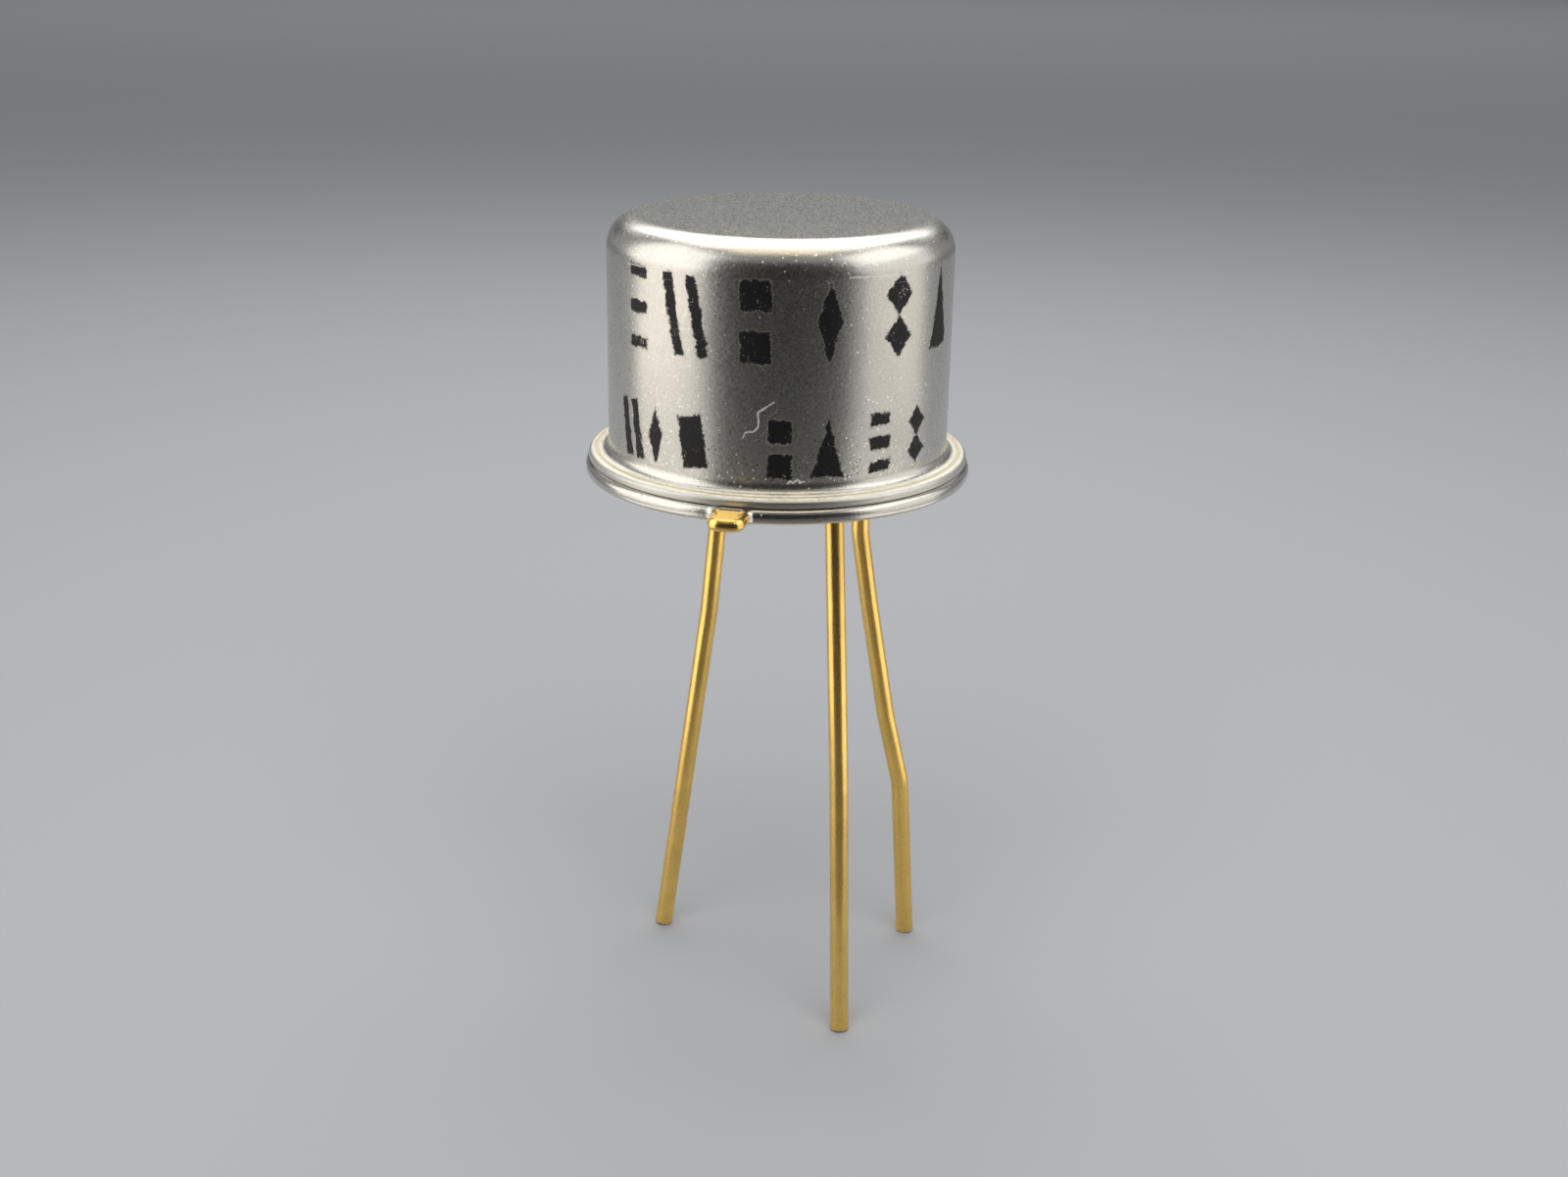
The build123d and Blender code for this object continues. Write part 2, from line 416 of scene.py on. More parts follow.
def combine(tree, operation, first, second):
    """One step of arithmetic on two values."""
    made = build_step(tree, "ShaderNodeMath", operation=operation)
    for socket, value in zip(made.inputs, (first, second)):
        if isinstance(value, bpy.types.NodeSocket):
            tree.links.new(value, socket)
        else:
            socket.default_value = value
    return made.outputs[0]


def combine_vectors(tree, operation, first, second):
    """One step of arithmetic on two vectors."""
    made = build_step(tree, "ShaderNodeVectorMath", operation=operation)
    for socket, value in zip(made.inputs, (first, second)):
        if isinstance(value, bpy.types.NodeSocket):
            tree.links.new(value, socket)
        else:
            socket.default_value = value
    return made.outputs["Value"] if operation in ("DOT_PRODUCT", "LENGTH") else made.outputs["Vector"]


def scaled(tree, vector, factor):
    """A vector made longer or shorter by a factor."""
    inputs = {"Vector": vector, "Scale": factor}
    return build_step(tree, "ShaderNodeVectorMath", inputs, operation="SCALE").outputs["Vector"]


def product(tree, *values):
    """All the values multiplied together."""
    result = values[0]
    for value in values[1:]:
        result = combine(tree, "MULTIPLY", result, value)
    return result


def flecks(tree, coordinates, size, share):
    """Scattered tiny facets: how much of each shows, and the way it leans, mostly upwards."""
    cells = build_step(tree, "ShaderNodeTexVoronoi", {"Vector": coordinates, "Scale": 1 / size})
    pick = build_step(tree, "ShaderNodeSeparateColor", {"Color": cells.outputs["Color"]})
    chosen = ramp(tree, combine(tree, "ADD", pick.outputs["Red"], share), 1, 1.005)
    near = ramp(tree, cells.outputs["Distance"], 0.55, 0.25)
    across = ramp(tree, pick.outputs["Green"], 0, 1, -fleck_tilt, fleck_tilt)
    upward = combine(tree, "POWER", pick.outputs["Blue"], fleck_lift)
    lean = build_step(tree, "ShaderNodeCombineXYZ", {"X": across, "Z": upward}).outputs["Vector"]
    return product(tree, chosen, near), lean


def nickel_surface(tree, coordinates, smooth, rough, fleck_share, fleck_lean=1.0):
    """Colour, roughness and normal of satin nickel plate: mottled, with a sparkling fine grain."""
    mottle = speckle(tree, coordinates, 0.9 * MM, detail=5.0)
    fine = speckle(tree, coordinates, 0.07 * MM, detail=3.0, roughness=0.7)
    darker_nickel = shade_of(nickel_colour, nickel_shade)
    colour = blend(tree, ramp(tree, mottle, 0.3, 0.7), darker_nickel, nickel_colour)
    amount, facing = flecks(tree, coordinates, fleck_size, fleck_share)
    roughness = ramp(tree, fine, 0.3, 0.7, rough, smooth)
    bump_inputs = {"Height": fine, "Distance": 4e-6, "Strength": 0.6}
    grain = build_step(tree, "ShaderNodeBump", bump_inputs).outputs["Normal"]
    lean = scaled(tree, facing, product(tree, amount, fleck_lean))
    leaning = combine_vectors(tree, "ADD", grain, lean)
    normal = build_step(tree, "ShaderNodeVectorMath", {"Vector": leaning}, operation="NORMALIZE")
    return colour, roughness, normal.outputs["Vector"]


def plug_in(tree, shader, **sockets):
    """Links values to the shader's sockets, whose names are written with low lines for spaces."""
    for name, value in sockets.items():
        tree.links.new(value, shader.inputs[name.replace("_", " ")])


header_finish, header_tree, header_shader = new_finish("nickel_and_gold_plate")
header_place = build_step(header_tree, "ShaderNodeTexCoord").outputs["Object"]
header_colour, header_roughness, header_normal = nickel_surface(
    header_tree, header_place, smooth=0.16, rough=0.26, fleck_share=0.05
)
tab_direction = (cos(tab_angle), sin(tab_angle), 0)
past_rim = combine(
    header_tree,
    "SUBTRACT",
    combine_vectors(header_tree, "DOT_PRODUCT", header_place, tab_direction),
    header_radius,
)
gold_on_tab = ramp(header_tree, past_rim, *gold_on_tab_from)
header_height = build_step(header_tree, "ShaderNodeSeparateXYZ", {"Vector": header_place}).outputs["Z"]
gold_below = ramp(header_tree, header_height, *gold_below_from)
gold_amount = combine(header_tree, "MAXIMUM", gold_on_tab, gold_below)
plate = blend(header_tree, gold_amount, header_colour, gold_colour)
facing_up = combine_vectors(
    header_tree,
    "DOT_PRODUCT",
    build_step(header_tree, "ShaderNodeNewGeometry").outputs["Normal"],
    (0, 0, 1),
)
rolled_face = product(header_tree, ramp(header_tree, facing_up, 0.85, 0.99), gold_on_tab)
rolled_grain = product(header_tree, rolled_face, rolled_dullness)
plug_in(
    header_tree,
    header_shader,
    Base_Color=plate,
    Roughness=combine(header_tree, "ADD", header_roughness, rolled_grain),
    Metallic=ramp(header_tree, rolled_face, 0, 1, 1.0, rolled_metal_share),
    Normal=header_normal,
)

header = place_mesh("header_piece", header_mesh, header_finish)
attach(header, "root")
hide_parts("header")


# Glass seal. Dark glass that was melted into the header's cup, so it holds the leads and keeps
# two of them off the metal. The CAD solid stays and gets the look of pressed glass.
glass_dark = (0.018, 0.030, 0.032, 1)
glass_light = (0.045, 0.070, 0.070, 1)

glass_finish, glass_tree, glass_shader = new_finish("sealing_glass")
glass_place = build_step(glass_tree, "ShaderNodeTexCoord").outputs["Object"]
glass_swirl = speckle(glass_tree, glass_place, 0.6 * MM, detail=5.0)
glass_swirl_share = ramp(glass_tree, glass_swirl, 0.35, 0.65)
glass_colour = blend(glass_tree, glass_swirl_share, glass_dark, glass_light)
glass_bump = build_step(
    glass_tree,
    "ShaderNodeBump",
    {"Height": speckle(glass_tree, glass_place, 0.25 * MM), "Distance": 8e-6, "Strength": 0.6},
)
plug_in(glass_tree, glass_shader, Base_Color=glass_colour, Normal=glass_bump.outputs["Normal"])
glass_shader.inputs["Roughness"].default_value = 0.16
glass_shader.inputs["Coat Weight"].default_value = 0.4
glass_shader.inputs["Coat Roughness"].default_value = 0.08


def refinish(node, finish):
    """Gives another finish to a CAD node that isn't replaced."""
    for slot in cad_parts[node].material_slots:
        slot.material = finish


refinish("glass_seal", glass_finish)


# Leads. Three gold-plated wires with faint lengthwise draw marks. Each is bent a little, by hand,
# and cut square. Two end in nail heads above the platform, and the third is welded under it.
lead_radius = 0.23 * MM
lead_bend_radius = 2.4 * MM
tip_round = 0.035 * MM
nail_head = (0.36 * MM, 0.12 * MM)
weld_head = (0.38 * MM, 0.10 * MM)
head_bevel = 0.03 * MM
head_step = 0.001 * MM
wire_sides = 40
draw_mark_stretch = 0.04
stand_height = -floor_level
post_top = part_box("emitter_lead")[1].z
emitter_bends = [(0, 0, 0.50), (0.27, -0.87, 7.30), (0.42, -1.59, stand_height / MM)]
base_bends = [
    (0, 0, 2.05),
    (0.29, -0.02, 4.00),
    (0.82, -0.05, 7.10),
    (1.27, -0.07, 9.05),
    (1.56, -0.10, stand_height / MM),
]
collector_bends = [(0, 0, 0.50), (-0.36, -0.20, 4.50), (-1.55, -0.67, stand_height / MM)]
lead_plans = {
    "emitter_lead": (emitter_angle, emitter_bends, post_top, nail_head),
    "base_lead": (base_angle, base_bends, post_top, nail_head),
    "collector_lead": (collector_angle, collector_bends, deck_underside, weld_head),
}

wire_finish, wire_tree, wire_shader = new_finish("gold_plated_wire")
wire_grain = build_step(wire_tree, "ShaderNodeAttribute", attribute_name="grain").outputs["Vector"]
draw_marks = speckle(wire_tree, wire_grain, 0.05 * MM, detail=4.0, roughness=0.7)
wire_place = build_step(wire_tree, "ShaderNodeTexCoord").outputs["Object"]
wire_patches = speckle(wire_tree, wire_place, 0.7 * MM, detail=4.0)
patch_share = ramp(wire_tree, wire_patches, 0.35, 0.7)
wire_colour = blend(wire_tree, patch_share, gold_colour, shade_of(gold_colour, 0.86))
wire_bump = build_step(
    wire_tree, "ShaderNodeBump", {"Height": draw_marks, "Distance": 5e-6, "Strength": 0.7}
)
plug_in(
    wire_tree,
    wire_shader,
    Base_Color=wire_colour,
    Roughness=ramp(wire_tree, draw_marks, 0.3, 0.7, 0.2, 0.34),
    Normal=wire_bump.outputs["Normal"],
)
wire_shader.inputs["Metallic"].default_value = 1.0


def wire_maker():
    """Geometry nodes that fillet a bent centre line and draw a round wire along it."""
    tree = bpy.data.node_groups.new("bent_wire", "GeometryNodeTree")
    face = tree.interface
    face.new_socket("Geometry", in_out="INPUT", socket_type="NodeSocketGeometry")
    face.new_socket("Bend radius", in_out="INPUT", socket_type="NodeSocketFloat")
    face.new_socket("Sides", in_out="INPUT", socket_type="NodeSocketInt")
    face.new_socket("Finish", in_out="INPUT", socket_type="NodeSocketMaterial")
    face.new_socket("Geometry", in_out="OUTPUT", socket_type="NodeSocketGeometry")
    given = build_step(tree, "NodeGroupInput").outputs
    filleted = build_step(
        tree,
        "GeometryNodeFilletCurve",
        {"Curve": given["Geometry"], "Radius": given["Bend radius"], "Count": 8, "Limit Radius": True},
        mode="POLY",
    )
    run = build_step(tree, "GeometryNodeCaptureAttribute", {"Geometry": filleted.outputs["Curve"]})
    run.capture_items.new("FLOAT", "Length")
    length = build_step(tree, "GeometryNodeSplineParameter").outputs["Length"]
    tree.links.new(length, run.inputs["Length"])
    circle = build_step(
        tree, "GeometryNodeCurvePrimitiveCircle", {"Resolution": given["Sides"], "Radius": 1.0}
    )
    section = build_step(tree, "GeometryNodeCaptureAttribute", {"Geometry": circle.outputs["Curve"]})
    section.capture_items.new("VECTOR", "Side")
    tree.links.new(build_step(tree, "GeometryNodeInputPosition").outputs[0], section.inputs["Side"])
    radius = build_step(tree, "GeometryNodeInputRadius").outputs["Radius"]
    wire = build_step(
        tree,
        "GeometryNodeCurveToMesh",
        {
            "Curve": run.outputs["Geometry"],
            "Profile Curve": section.outputs["Geometry"],
            "Scale": radius,
            "Fill Caps": True,
        },
    )
    across = scaled(tree, section.outputs["Side"], lead_radius)
    stretched = product(tree, run.outputs["Length"], draw_mark_stretch)
    along = build_step(tree, "ShaderNodeCombineXYZ", {"Z": stretched}).outputs["Vector"]
    marked = build_step(
        tree,
        "GeometryNodeStoreNamedAttribute",
        {
            "Geometry": wire.outputs["Mesh"],
            "Name": "grain",
            "Value": combine_vectors(tree, "ADD", across, along),
        },
        data_type="FLOAT_VECTOR",
        domain="POINT",
    )
    solid = build_step(tree, "GeometryNodeRealizeInstances", {"Geometry": marked.outputs["Geometry"]})
    plated = build_step(
        tree,
        "GeometryNodeSetMaterial",
        {"Geometry": solid.outputs["Geometry"], "Material": given["Finish"]},
    )
    build_step(tree, "NodeGroupOutput", {"Geometry": plated.outputs["Geometry"]})
    return tree


def lead_line(angle, bends, top, head):
    """The centre line's points with the wire's radius at each, from its head down to its cut end."""
    x = lead_circle_radius * cos(angle)
    y = lead_circle_radius * sin(angle)
    head_radius, head_thickness = head
    route = [Vector((x + dx * MM, y + dy * MM, -depth * MM)) for dx, dy, depth in bends]
    run = (route[-1] - route[-2]).normalized()
    end_radius = lead_radius - tip_round
    tip = route.pop() + Vector((0, 0, end_radius * hypot(run.x, run.y)))
    line = [
        (Vector((x, y, top)), head_radius - head_bevel),
        (Vector((x, y, top - head_bevel)), head_radius),
        (Vector((x, y, top - head_thickness)), head_radius),
        (Vector((x, y, top - head_thickness - head_step)), lead_radius),
    ]
    line += [(point, lead_radius) for point in route]
    for back in (tip_round, 0.4 * tip_round, 0):
        radius = lead_radius - tip_round + sqrt(max(tip_round**2 - (tip_round - back) ** 2, 0))
        line.append((tip - run * back, radius))
    return line


wire_tree_group = wire_maker()
wire_inputs = {item.name: item.identifier for item in wire_tree_group.interface.items_tree}

for name, (angle, bends, top, head) in lead_plans.items():
    line = lead_line(angle, bends, top, head)
    curve = bpy.data.curves.new(name + "_line", "CURVE")
    curve.dimensions = "3D"
    spline = curve.splines.new("POLY")
    spline.points.add(len(line) - 1)
    for point, (place, radius) in zip(spline.points, line):
        point.co = (*place, 1)
        point.radius = radius
    guide = bpy.data.objects.new(name + "_line", curve)
    bpy.context.collection.objects.link(guide)
    maker = guide.modifiers.new("bent_wire", "NODES")
    maker.node_group = wire_tree_group
    maker[wire_inputs["Bend radius"]] = lead_bend_radius
    maker[wire_inputs["Sides"]] = wire_sides
    maker[wire_inputs["Finish"]] = wire_finish
    seen = guide.evaluated_get(bpy.context.evaluated_depsgraph_get())
    wire_form = bmesh.new()
    wire_form.from_mesh(bpy.data.meshes.new_from_object(seen))
    wire_mesh = finished_mesh(name, wire_form, sharp_angle=radians(40))
    bpy.data.objects.remove(guide)
    lead = place_mesh(name + "_wire", wire_mesh, wire_finish)
    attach(lead, "root")
    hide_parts(name)


# Chip, die bond and bond wires. A square of polished silicon is held to the platform by a thin
# layer of gold alloy, and two gold wires run from it to the leads' nail heads. All are shut
# inside the can, so the CAD solids stay and get their finishes.
silicon_dark = (0.10, 0.11, 0.15, 1)
silicon_light = (0.16, 0.17, 0.21, 1)
bond_dark = (0.85, 0.55, 0.18, 1)
bond_light = (0.95, 0.68, 0.28, 1)

silicon_finish, silicon_tree, silicon_shader = new_finish("polished_silicon")
silicon_place = build_step(silicon_tree, "ShaderNodeTexCoord").outputs["Object"]
silicon_tone = ramp(silicon_tree, speckle(silicon_tree, silicon_place, 0.2 * MM), 0.3, 0.7)
silicon_colour = blend(silicon_tree, silicon_tone, silicon_dark, silicon_light)
plug_in(silicon_tree, silicon_shader, Base_Color=silicon_colour)
silicon_shader.inputs["Metallic"].default_value = 0.7
silicon_shader.inputs["Roughness"].default_value = 0.12
refinish("chip", silicon_finish)

bond_finish, bond_tree, bond_shader = new_finish("bond_gold_surface")
bond_place = build_step(bond_tree, "ShaderNodeTexCoord").outputs["Object"]
bond_tone = speckle(bond_tree, bond_place, 0.05 * MM)
bond_colour = blend(bond_tree, bond_tone, bond_dark, bond_light)
bond_roughness = ramp(bond_tree, bond_tone, 0.3, 0.7, 0.22, 0.4)
plug_in(bond_tree, bond_shader, Base_Color=bond_colour, Roughness=bond_roughness)
bond_shader.inputs["Metallic"].default_value = 1.0
for node in ("die_bond", "emitter_wire", "base_wire"):
    refinish(node, bond_finish)


# Cap. One shell of nickel-plated sheet, drawn to a closed top with a rounded shoulder, with a
# brim that is resistance-welded to the header. It is closed all round, so it is a thin solid.
cap_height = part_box("cap")[1].z
brim_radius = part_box("cap")[1].x
wall_radius = 4.10 * MM
sheet = 0.20 * MM
shoulder_radius = 0.76 * MM
crown = 0.012 * MM
brim_top = 0.575 * MM
crest_width = 0.20 * MM
crest_drop = 0.11 * MM
crest_start = 104
brim_lower_round = 0.05 * MM
foot_fillet = 0.235 * MM
foot_groove = 0.012 * MM
inner_pole_radius = 0.2 * MM
cap_steps = 512
crown_rings = 16
shoulder_rings = 20
wall_rings = 94
foot_rings = 12
crest_rings = 16


def arc(centre, radius, start, end, steps):
    """Points of a profile's arc, as radius and height; the angles are in degrees."""
    turns = np.radians(np.linspace(start, end, steps))
    return [(centre[0] + radius * cos(t), centre[1] + radius * sin(t)) for t in turns]


flat_radius = wall_radius - shoulder_radius
shoulder_centre = (flat_radius, cap_height - shoulder_radius)
inner_shoulder = shoulder_radius - sheet
foot_centre = (wall_radius + foot_fillet, brim_top - foot_groove + foot_fillet)
brim_lower_centre = (brim_radius - brim_lower_round, header_thickness + brim_lower_round)
wall_heights = np.linspace(shoulder_centre[1], foot_centre[1], wall_rings)
bore_radius = wall_radius - sheet

# The profile runs from the middle of the top out over the shoulder, down the wall, over the brim
# and back up inside.
cap_profile = []
for reach in np.linspace(0.05, 1, crown_rings):
    cap_profile.append((flat_radius * reach, cap_height - crown * reach**4))
for radius, height in arc(shoulder_centre, shoulder_radius, 88, 0, shoulder_rings):
    rise = (height - shoulder_centre[1]) / shoulder_radius
    cap_profile.append((radius, height - crown * rise**2))
cap_profile += [(wall_radius, height) for height in wall_heights[1:-1]]
cap_profile += arc(foot_centre, foot_fillet, 180, 270, foot_rings)
for turn in np.radians(np.linspace(crest_start, 0, crest_rings)):
    radius = brim_radius - crest_width * (1 - cos(turn))
    cap_profile.append((radius, brim_top - crest_drop * (1 - sin(turn))))
cap_profile += arc(brim_lower_centre, brim_lower_round, 0, -90, 5)
cap_profile += [(bore_radius, header_thickness), (bore_radius, shoulder_centre[1])]
cap_profile += arc(shoulder_centre, inner_shoulder, 0, 90, 8)[1:]
cap_profile += [(inner_pole_radius, cap_height - sheet)]

cap_turns = np.linspace(0, 2 * pi, cap_steps + 1)[:-1]
cap_circle = np.stack([np.cos(cap_turns), np.sin(cap_turns)], 1)
cap_form = bmesh.new()
cap_rings = [add_ring(cap_form, cap_circle * radius, height) for radius, height in cap_profile]
for first, second in zip(cap_rings, cap_rings[1:]):
    bridge(cap_form, first, second)
cap_form.faces.new(cap_rings[0])
cap_form.faces.new(cap_rings[-1])
cap_mesh = finished_mesh("cap", cap_form)


# Ink marks on the cap. Two rows of plain shapes, rubber-stamped on the wall in black ink. How far
# each point of the wall lies from the nearest mark is stored on the mesh, and the finish below
# lets the ink bleed from there.
ink_stroke = 0.27 * MM
slant_lean = 10
upper_row = (4.46 * MM, 1.87 * MM)
lower_row = (1.60 * MM, 1.36 * MM)
wall_skin = 0.1 * MM
no_ink = 1 * MM


def bar(u, v, width, height, turn=0.0):
    """Distance to a bar of that size, turned by that many degrees."""
    c, s = cos(radians(turn)), sin(radians(turn))
    x = np.abs(c * u + s * v) - width / 2
    y = np.abs(-s * u + c * v) - height / 2
    return np.minimum(np.maximum(x, y), 0) + np.hypot(np.maximum(x, 0), np.maximum(y, 0))


def lozenge(u, v, width, height):
    """Distance to a diamond standing on its point."""
    a, b = width / 2, height / 2
    return (np.abs(u) / a + np.abs(v) / b - 1) * a * b / hypot(a, b)


def wedge(u, v, width, height):
    """Distance to a triangle standing on its base."""
    side = hypot(width / 2, height)
    slope = (np.abs(u) * height + (v - height / 2) * width / 2) / side
    return np.maximum(slope, -v - height / 2)


def dashes(u, v, width, height, count):
    """Distance to a stack of short flat dashes."""
    levels = np.linspace(-height / 2 + ink_stroke / 2, height / 2 - ink_stroke / 2, count)
    return np.minimum.reduce([bar(u, v - level, width, ink_stroke) for level in levels])


def slants(u, v, width, height):
    """Distance to two bars that lean the same way."""
    offset = width / 2 - ink_stroke * 0.6
    first = bar(u + offset, v, ink_stroke, height, slant_lean)
    second = bar(u - offset, v, ink_stroke, height, slant_lean)
    return np.minimum(first, second)


def stack(u, v, size, height):
    """Distance to two squares, one above the other."""
    gap = (height - size) / 2
    return np.minimum(bar(u, v - gap, size, size), bar(u, v + gap, size, size))


def twin(u, v, width, height):
    """Distance to two diamonds, one above the other."""
    first = lozenge(u, v - height / 4, width, height / 2)
    second = lozenge(u, v + height / 4, width, height / 2)
    return np.minimum(first, second)


upper_marks = [
    (-50.7, lambda u, v, h: dashes(u, v, 0.62 * MM, h, 3)),
    (-30.9, lambda u, v, h: slants(u, v, 0.95 * MM, h)),
    (-7.5, lambda u, v, h: stack(u, v, 0.72 * MM, h)),
    (15.7, lambda u, v, h: lozenge(u, v, 0.62 * MM, h)),
    (40.5, lambda u, v, h: twin(u, v, 0.80 * MM, h)),
    (62.5, lambda u, v, h: wedge(u, v, 0.85 * MM, h)),
]
lower_marks = [
    (-55.0, lambda u, v, h: slants(u, v, 0.75 * MM, h)),
    (-42.7, lambda u, v, h: lozenge(u, v, 0.45 * MM, h)),
    (-28.0, lambda u, v, h: bar(u, v, 0.62 * MM, h * 0.9, 8)),
    (0.6, lambda u, v, h: stack(u, v, 0.56 * MM, h)),
    (16.1, lambda u, v, h: wedge(u, v, 0.80 * MM, h)),
    (34.4, lambda u, v, h: dashes(u, v, 0.56 * MM, h, 3)),
    (50.7, lambda u, v, h: twin(u, v, 0.60 * MM, h)),
]

cap_points = np.empty(len(cap_mesh.vertices) * 3)
cap_mesh.vertices.foreach_get("co", cap_points)
cap_points = cap_points.reshape(-1, 3)
wall_reach = np.hypot(cap_points[:, 0], cap_points[:, 1])
wall_turn = np.degrees(np.arctan2(cap_points[:, 0], -cap_points[:, 1]))
on_wall = wall_reach > wall_radius - wall_skin


def along_wall(start):
    """How far round the wall each of the cap's points lies from that turn, the shorter way."""
    return np.radians((wall_turn - start + 180) % 360 - 180) * wall_radius


ink_distance = np.full(len(cap_points), no_ink)
for (row_height, mark_height), marks in ((upper_row, upper_marks), (lower_row, lower_marks)):
    for turn, shape in marks:
        v = cap_points[:, 2] - row_height
        ink_distance = np.minimum(ink_distance, shape(along_wall(turn), v, mark_height))
ink_distance[~on_wall] = no_ink
ink_layer = cap_mesh.attributes.new("ink_distance", "FLOAT", "POINT")
ink_layer.data.foreach_set("value", ink_distance / MM)

# Wear on the cap. A few hairline scratches, kept on the mesh as how far to one side of a scratch
# each point lies, so that the finish can draw them thinner than the mesh's own faces.
scratches = {
    "fine_curl": [
        (-11.0, 1.82),
        (-10.0, 1.97),
        (-7.4, 1.99),
        (-6.2, 2.10),
        (-6.0, 2.26),
        (-6.4, 2.43),
        (-4.1, 2.54),
        (-2.3, 2.63),
        (-1.2, 2.68),
    ],
    "right_tool_line": [(21.7, 5.41), (29.1, 5.40), (37.3, 5.39), (47.8, 5.38)],
    "left_tool_line": [(-57.3, 5.36), (-44.0, 5.38), (-30.2, 5.40)],
    "low_scuff": [(-39.0, 2.62), (-36.5, 2.50), (-33.0, 2.41)],
    "rear_scratch": [(150.0, 4.10), (158.0, 3.75), (171.0, 3.52), (176.0, 3.50)],
    "side_scratch": [(98.0, 2.10), (101.0, 2.65), (106.0, 3.30)],
    "left_rear_scuff": [(-128.0, 1.70), (-120.0, 1.92), (-117.0, 2.05)],
    "foot_crumbs": [(3.2, 0.80), (4.1, 0.88), (5.0, 0.81), (6.4, 0.92), (7.2, 0.82), (8.4, 0.86)],
}
scratch_reach = 0.2
scratch_field = np.zeros((len(cap_points), 3), dtype=np.float32)
scratch_field[:, 0] = scratch_reach
nearest = np.full(len(cap_points), scratch_reach)
for path in scratches.values():
    for k in range(len(path) - 1):
        (turn_a, high_a), (turn_b, high_b) = path[k], path[k + 1]
        run = np.array([radians(turn_b - turn_a) * wall_radius / MM, high_b - high_a])
        length = hypot(*run)
        offset_u = along_wall(turn_a) / MM
        offset_v = cap_points[:, 2] / MM - high_a
        along = (offset_u * run[0] + offset_v * run[1]) / length**2
        side = (offset_v * run[0] - offset_u * run[1]) / length
        held = np.clip(along, 0, 1)
        distance = np.hypot(offset_u - held * run[0], offset_v - held * run[1])
        closer = on_wall & (distance < nearest)
        past_end = ((k == 0) & (along < 0)) | ((k == len(path) - 2) & (along > 1))
        nearest[closer] = distance[closer]
        scratch_field[closer, 0] = (np.sign(side) * distance)[closer]
        scratch_field[closer, 1] = np.where(past_end, 0, 1)[closer]
scratch_layer = cap_mesh.attributes.new("scratch", "FLOAT_VECTOR", "POINT")
scratch_layer.data.foreach_set("vector", scratch_field.ravel())

# Finish of the cap. Satin nickel with worn ink and scratches over it, whose distances are in
# millimetres. It sparkles near its foot. The weld has left the brim dull, and the brim is painted pale
# with a straw ring: painted highlight and painted reflection.
# Each pair of heights or radii is where a band begins to show and where it is whole.
ink_colour = (0.006, 0.0055, 0.006, 1)
ink_haze_colour = (0.20, 0.16, 0.13, 1)
ink_raggedness = 0.085
ink_swell = 0.035
haze_reach = 0.09
haze_strength = 0.4
ink_dullness = 0.25
scratch_colour = (0.80, 0.77, 0.72, 1)
scratch_widths = (0.010, 0.026)
scratch_edge = 0.006
scratch_strength = 0.75
foot_fleck_heights = (0.7 * MM, 1.9 * MM)
foot_lean_heights = (0.8 * MM, 1.6 * MM)
brim_end_heights = (0.76 * MM, 0.94 * MM)
brim_from = (wall_radius + 0.10 * MM, wall_radius + 0.18 * MM)
ring_from = (wall_radius + 0.22 * MM, wall_radius + 0.28 * MM)
ring_to = (wall_radius + 0.36 * MM, wall_radius + 0.32 * MM)
crest_to = (brim_radius - 0.03 * MM, brim_radius - 0.09 * MM)
brim_dullness = 0.14
# The brim's pale frost colour is a painted highlight and its straw colour a painted reflection, over a
# dull weld finish.
brim_frost_and_highlight = 0.92
pale_frost_painted_highlight = (0.90, 0.86, 0.74, 1)
straw_painted_reflection = (0.86, 0.72, 0.42, 1)

cap_finish, cap_tree, cap_shader = new_finish("stamped_nickel")
cap_place = build_step(cap_tree, "ShaderNodeTexCoord").outputs["Object"]
cap_height_here = build_step(cap_tree, "ShaderNodeSeparateXYZ", {"Vector": cap_place}).outputs["Z"]
above_brim = ramp(cap_tree, cap_height_here, *brim_end_heights, 0.1, 1.0)
foot_flecks = ramp(cap_tree, cap_height_here, *foot_fleck_heights, 0.42, 0.10)
foot_flecks = product(cap_tree, foot_flecks, above_brim)
foot_lean = ramp(cap_tree, cap_height_here, *foot_lean_heights, 2.2, 0.9)
cap_colour, cap_roughness, cap_normal = nickel_surface(
    cap_tree, cap_place, smooth=0.22, rough=0.32, fleck_share=foot_flecks, fleck_lean=foot_lean
)

ink_field = build_step(cap_tree, "ShaderNodeAttribute", attribute_name="ink_distance").outputs["Fac"]
ragged = speckle(cap_tree, cap_place, 0.08 * MM, detail=6.0, roughness=0.85)
stroke_swell = speckle(cap_tree, cap_place, 0.4 * MM, detail=2.0)
ragged_shift = ramp(cap_tree, ragged, 0.2, 0.8, -ink_raggedness, ink_raggedness)
swell_shift = ramp(cap_tree, stroke_swell, 0.3, 0.7, -ink_swell, ink_swell)
ink_edge = combine(cap_tree, "ADD", ink_field, ragged_shift)
ink_edge = combine(cap_tree, "ADD", ink_edge, swell_shift)
ink_cover = ramp(cap_tree, ink_edge, 0.010, -0.012)
pinholes = speckle(cap_tree, cap_place, 0.05 * MM, detail=2.0)
worn = speckle(cap_tree, cap_place, 0.6 * MM, detail=3.0)
pinhole_cut = ramp(cap_tree, worn, 0.45, 0.75, 0.74, 0.56)
pinhole_depth = combine(cap_tree, "SUBTRACT", pinholes, pinhole_cut)
ink_left = ramp(cap_tree, pinhole_depth, 0.0, 0.03, 1.0, 0.15)
ink_amount = product(cap_tree, ink_cover, ink_left)
near_ink = ramp(cap_tree, ink_edge, haze_reach, 0.0)
haze = product(cap_tree, near_ink, ramp(cap_tree, worn, 0.4, 0.7), haze_strength)
hazed = blend(cap_tree, haze, cap_colour, ink_haze_colour)
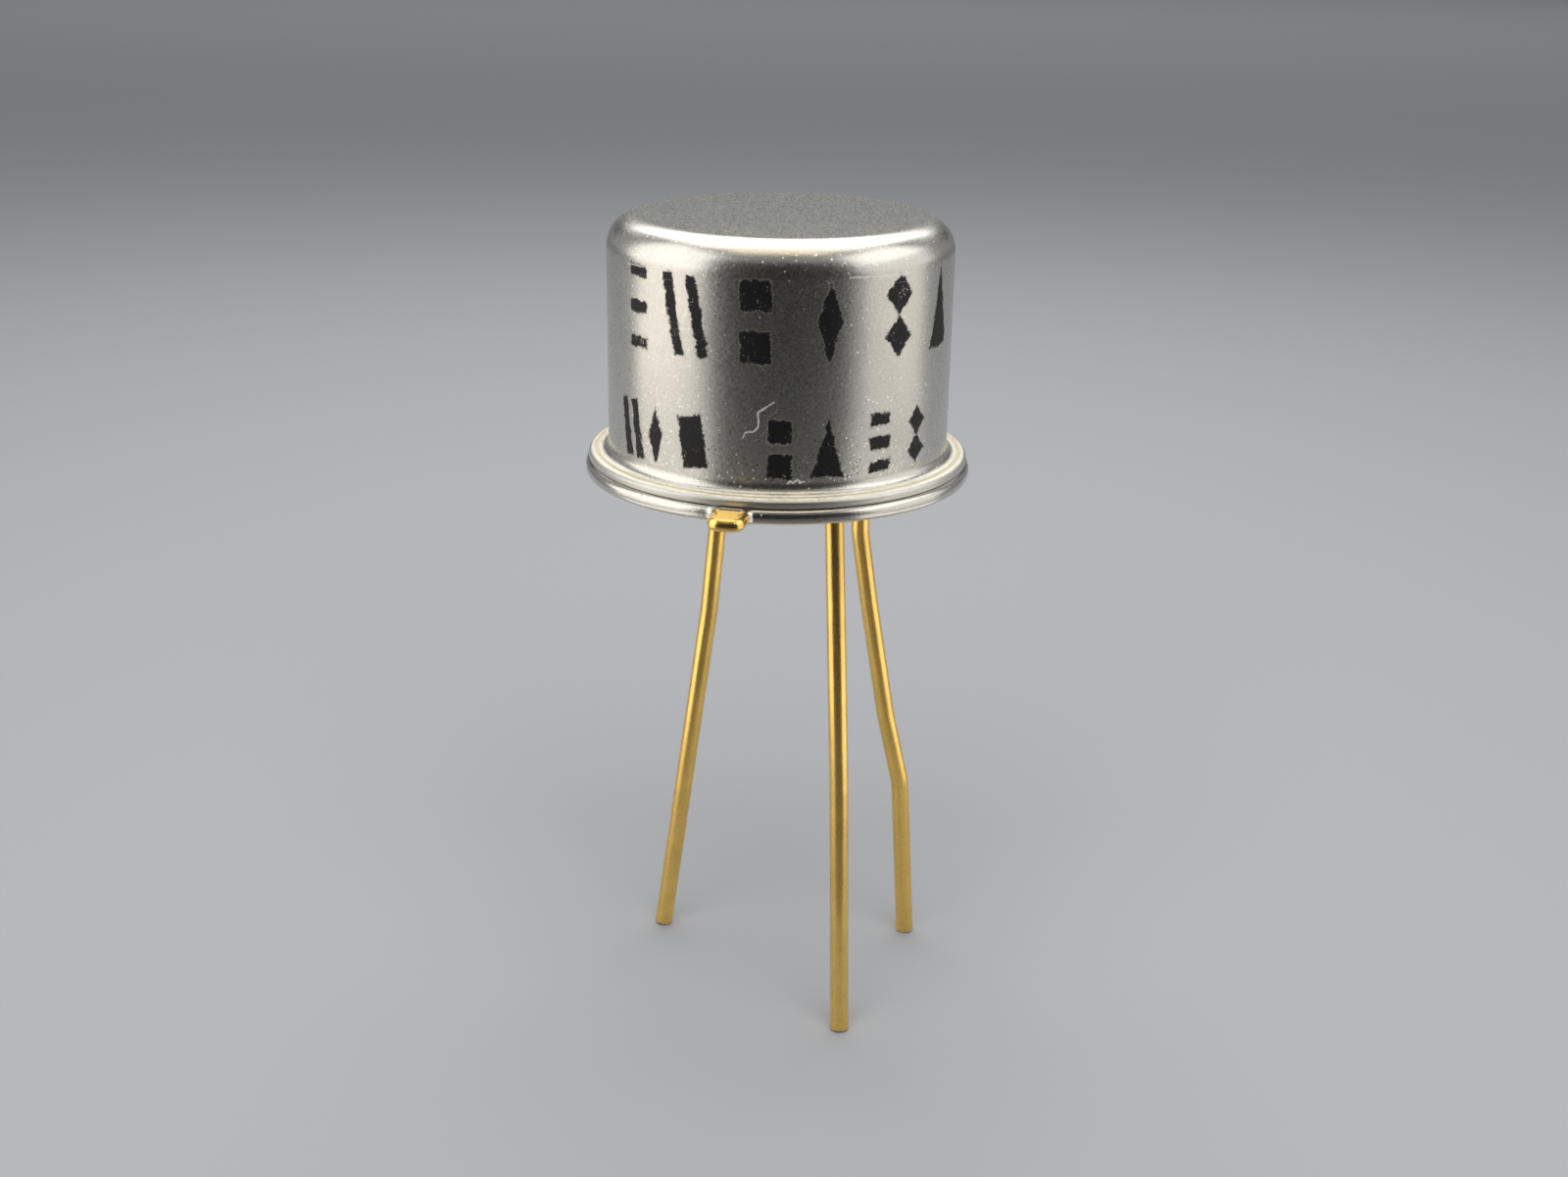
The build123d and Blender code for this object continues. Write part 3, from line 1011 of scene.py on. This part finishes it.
inked = blend(cap_tree, ink_amount, hazed, ink_colour)

scratch = build_step(cap_tree, "ShaderNodeAttribute", attribute_name="scratch").outputs["Vector"]
scratch_parts = build_step(cap_tree, "ShaderNodeSeparateXYZ", {"Vector": scratch})
scratch_off = combine(cap_tree, "ABSOLUTE", scratch_parts.outputs["X"], 0.0)
scratch_width = ramp(cap_tree, speckle(cap_tree, cap_place, 0.15 * MM), 0.3, 0.7, *scratch_widths)
scratch_depth = combine(cap_tree, "SUBTRACT", scratch_off, scratch_width)
scratch_line = ramp(cap_tree, scratch_depth, scratch_edge, -scratch_edge)
scratch_amount = product(cap_tree, scratch_line, scratch_parts.outputs["Y"], scratch_strength)
scratched = blend(cap_tree, scratch_amount, inked, scratch_colour)

flat_place = combine_vectors(cap_tree, "MULTIPLY", cap_place, (1, 1, 0))
out_from_axis = combine_vectors(cap_tree, "LENGTH", flat_place, (0, 0, 0))
on_brim = ramp(cap_tree, out_from_axis, *brim_from)
past_ring_start = ramp(cap_tree, out_from_axis, *ring_from)
brim_painted_reflection_ring = product(cap_tree, past_ring_start, ramp(cap_tree, out_from_axis, *ring_to))
on_crest = ramp(cap_tree, out_from_axis, *crest_to)
# Painted highlight and painted reflection on the brim: a pale matt coat laid by radius, thinner in a
# straw ring and gone at the outer edge.
patchy_frost_and_highlight = ramp(cap_tree, speckle(cap_tree, cap_place, 0.12 * MM, detail=4.0), 0.3, 0.7, 0.6, 1.2)
less_highlight_in_ring = ramp(cap_tree, brim_painted_reflection_ring, 0, 1, 1.0, 0.6)
frost_and_painted_highlight = product(cap_tree, on_brim, brim_frost_and_highlight, patchy_frost_and_highlight, on_crest, less_highlight_in_ring)
brim_painted_highlight_tone = blend(cap_tree, brim_painted_reflection_ring, pale_frost_painted_highlight, straw_painted_reflection)
finished_colour = blend(cap_tree, frost_and_painted_highlight, scratched, brim_painted_highlight_tone)

metal_share = product(
    cap_tree,
    ramp(cap_tree, ink_amount, 0, 1, 1.0, 0.0),
    ramp(cap_tree, scratch_amount, 0, 1, 1.0, 0.3),
    ramp(cap_tree, frost_and_painted_highlight, 0, 1, 1.0, 0.0),
)
cap_dullness = combine(cap_tree, "ADD", cap_roughness, product(cap_tree, on_brim, brim_dullness))
cap_dullness = combine(cap_tree, "ADD", cap_dullness, product(cap_tree, ink_amount, ink_dullness))
plug_in(
    cap_tree,
    cap_shader,
    Base_Color=finished_colour,
    Metallic=metal_share,
    Roughness=cap_dullness,
    Normal=cap_normal,
)
cap_shader.inputs["Specular IOR Level"].default_value = 0.3

cap = place_mesh("cap_shell", cap_mesh, cap_finish)
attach(cap, "root")
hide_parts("cap")
